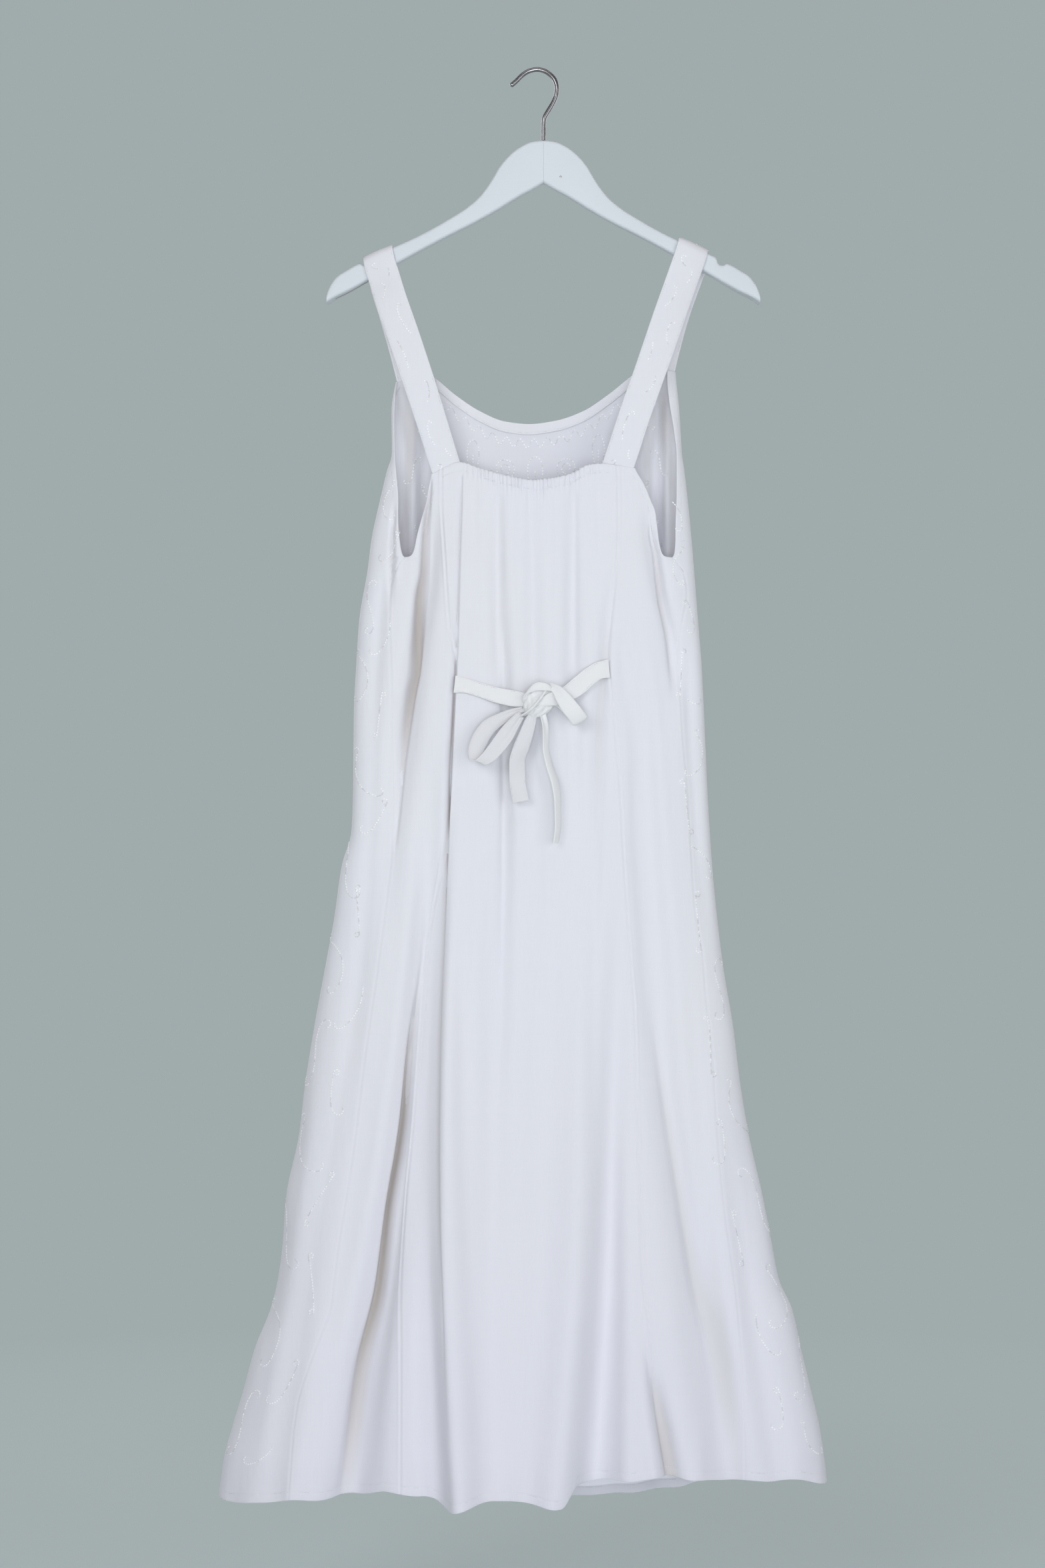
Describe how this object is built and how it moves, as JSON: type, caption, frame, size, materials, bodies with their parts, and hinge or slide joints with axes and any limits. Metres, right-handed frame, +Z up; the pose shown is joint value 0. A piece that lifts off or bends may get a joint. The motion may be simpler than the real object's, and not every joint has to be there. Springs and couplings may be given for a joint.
{
  "type": "maxi dress on a wooden hanger",
  "caption": "Sleeveless flared maxi dress with wide straps, a gathered back neckline and a tied back bow, hanging from a contoured wooden hanger.",
  "frame": {"origin": "underside of the hook's crown, where a rail or a nail carries the hanger", "axes": "+X to the viewer's right, -Y out of the back of the dress towards the viewer, +Z up; the garment's front faces +Y"},
  "size_m": [0.6184, 0.1306, 1.4632],
  "materials": {
    "cloth": "fine off-white viscose crepe, softly draped, matt",
    "trim": "the same cloth doubled, off-white, matt",
    "hanger_paint": "wood with satin cool-white paint, bare on its underside at the ends",
    "hook_steel": "dull grey plated wire"
  },
  "bodies": {
    "root": {"front_panel": "cloth", "back_centre": "cloth", "back_side_left": "cloth", "back_side_right": "cloth", "back_neck_casing": "trim", "front_neck_facing": "trim", "strap_left": "cloth", "strap_right": "cloth", "tie_left": "trim", "tie_right": "trim", "bow_loop_left": "trim", "bow_loop_right": "trim", "bow_end_left": "trim", "bow_end_right": "trim", "bow_knot": "trim", "hanger_bar_left": "hanger_paint", "hanger_bar_right": "hanger_paint", "hanger_hook": "hook_steel"}
  },
  "joints": []
}
